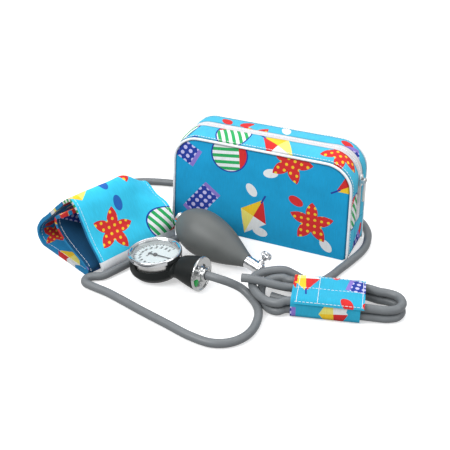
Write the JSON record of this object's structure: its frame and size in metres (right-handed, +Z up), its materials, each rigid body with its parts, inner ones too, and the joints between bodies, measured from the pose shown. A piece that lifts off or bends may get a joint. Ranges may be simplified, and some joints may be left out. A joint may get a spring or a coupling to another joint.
{
  "type": "aneroid sphygmomanometer kit",
  "caption": "Blood pressure kit laid out: round gauge, rubber bulb with valves, rolled printed cuff, long grey hoses tied in a wrap, and a zipped fabric bag.",
  "frame": {"origin": "centre of the bag's base, on the table", "axes": "+Z up; +X to the right and +Y away, as the object is seen from the front; the layout's long way is along X"},
  "size_m": [0.3537, 0.3056, 0.107],
  "materials": {
    "black_housing": "matte moulded plastic",
    "can_steel": "plain drawn steel",
    "chrome": "bright plating",
    "lens": "clear",
    "dial": "white enamel with printed scale",
    "pointer": "dark grey paint",
    "brass": "as cut",
    "bulb_rubber": "matte grey",
    "hose_rubber": "satin grey",
    "bladder_rubber": "matte grey",
    "cuff_cloth": "printed cotton, plain weave",
    "bag_cloth_front": "printed canvas",
    "bag_cloth_side": "printed canvas",
    "wrap_cloth": "printed cotton, stitched",
    "white_trim": "white woven tape and cord",
    "zip_steel": "plated"
  },
  "bodies": {
    "bag": {"bag_front_panel": "bag_cloth_front", "bag_body": "bag_cloth_side", "bag_back_lower": "bag_cloth_front", "zip_tape_front": "white_trim", "bag_piping_front": "white_trim", "bag_piping_rear_right": "white_trim", "bag_piping_rear_left": "white_trim"},
    "kit": {"gauge_case": "black_housing", "gauge_can": "can_steel", "gauge_bezel": "chrome", "gauge_lens": "lens", "gauge_dial": "dial", "gauge_movement_base": "brass", "gauge_movement_top": "brass", "gauge_capsule": "brass", "gauge_stem": "brass", "gauge_end_plate": "chrome", "end_plate_screw_1": "can_steel", "end_plate_screw_2": "can_steel", "end_plate_screw_3": "can_steel", "bulb": "bulb_rubber", "inlet_valve_body": "chrome", "release_valve_body": "chrome", "cuff_sleeve": "cuff_cloth", "cuff_end_tape": "white_trim", "cuff_edge_left": "white_trim", "cuff_edge_right": "white_trim", "cuff_bladder": "bladder_rubber", "gauge_hose": "hose_rubber", "bulb_hose_lead": "hose_rubber", "hose_hank": "hose_rubber", "bulb_hose_tail": "hose_rubber", "spare_tube_upper": "hose_rubber", "spare_tube_lower": "hose_rubber", "hank_wrap": "wrap_cloth", "hank_wrap_flap": "wrap_cloth"},
    "pointer": {"gauge_pointer": "pointer", "gauge_pinion_arbor": "brass"},
    "sector": {"gauge_sector_wheel": "brass"},
    "thumb_screw": {"release_thumb_screw": "chrome"},
    "inlet_disc": {"inlet_valve_disc": "hose_rubber"},
    "bag_lid": {"bag_lid_side": "bag_cloth_side", "bag_lid_panel": "bag_cloth_front", "zip_tape_rear": "white_trim", "bag_piping_lid": "white_trim"},
    "zip_slider": {"zip_slider": "zip_steel"},
    "zip_pull": {"zip_pull": "zip_steel"}
  },
  "joints": [
    {"name": "kit_lift", "type": "slide", "parent": "bag", "child": "kit", "axis": [0, 0, 1], "range_m": [0, 0.15]},
    {"name": "sector_turn", "type": "hinge", "parent": "kit", "child": "sector", "pos_m": [-0.12424, -0.08906, 0.01304], "axis": [-0.0594, 0.0343, 0.9976], "range_deg": [0, 37.5], "stiffness_Nm_per_rad": 0.0005},
    {"name": "pointer_turn", "type": "hinge", "parent": "kit", "child": "pointer", "pos_m": [-0.10951, -0.0847, 0.02159], "axis": [-0.0594, 0.0343, 0.9976], "range_deg": [-300, 0]},
    {"name": "thumb_screw_turn", "type": "hinge", "parent": "kit", "child": "thumb_screw", "pos_m": [-0.01138, -0.09113, 0.01073], "axis": [0.5762, 0.5178, 0.6324], "range_deg": [0, 540]},
    {"name": "inlet_disc_slide", "type": "slide", "parent": "kit", "child": "inlet_disc", "axis": [0.7591, -0.6258, -0.1793], "range_m": [0, 0.003]},
    {"name": "bag_lid_hinge", "type": "hinge", "parent": "bag", "child": "bag_lid", "pos_m": [0.01145, 0.02523, 0.03215], "axis": [-0.9107, 0.4131, 0], "range_deg": [0, 95]},
    {"name": "zip_slider_run", "type": "slide", "parent": "bag", "child": "zip_slider", "axis": [0.0045, -0.0569, -0.9984], "range_m": [0, 0.036]},
    {"name": "zip_pull_swing", "type": "hinge", "parent": "zip_slider", "child": "zip_pull", "pos_m": [0.09326, -0.03648, 0.07613], "axis": [-0.4138, -0.909, 0.0499], "range_deg": [-4, 150]}
  ],
  "couplings": [
    {"joint": "pointer_turn", "follows": "sector_turn", "ratio": -8}
  ]
}
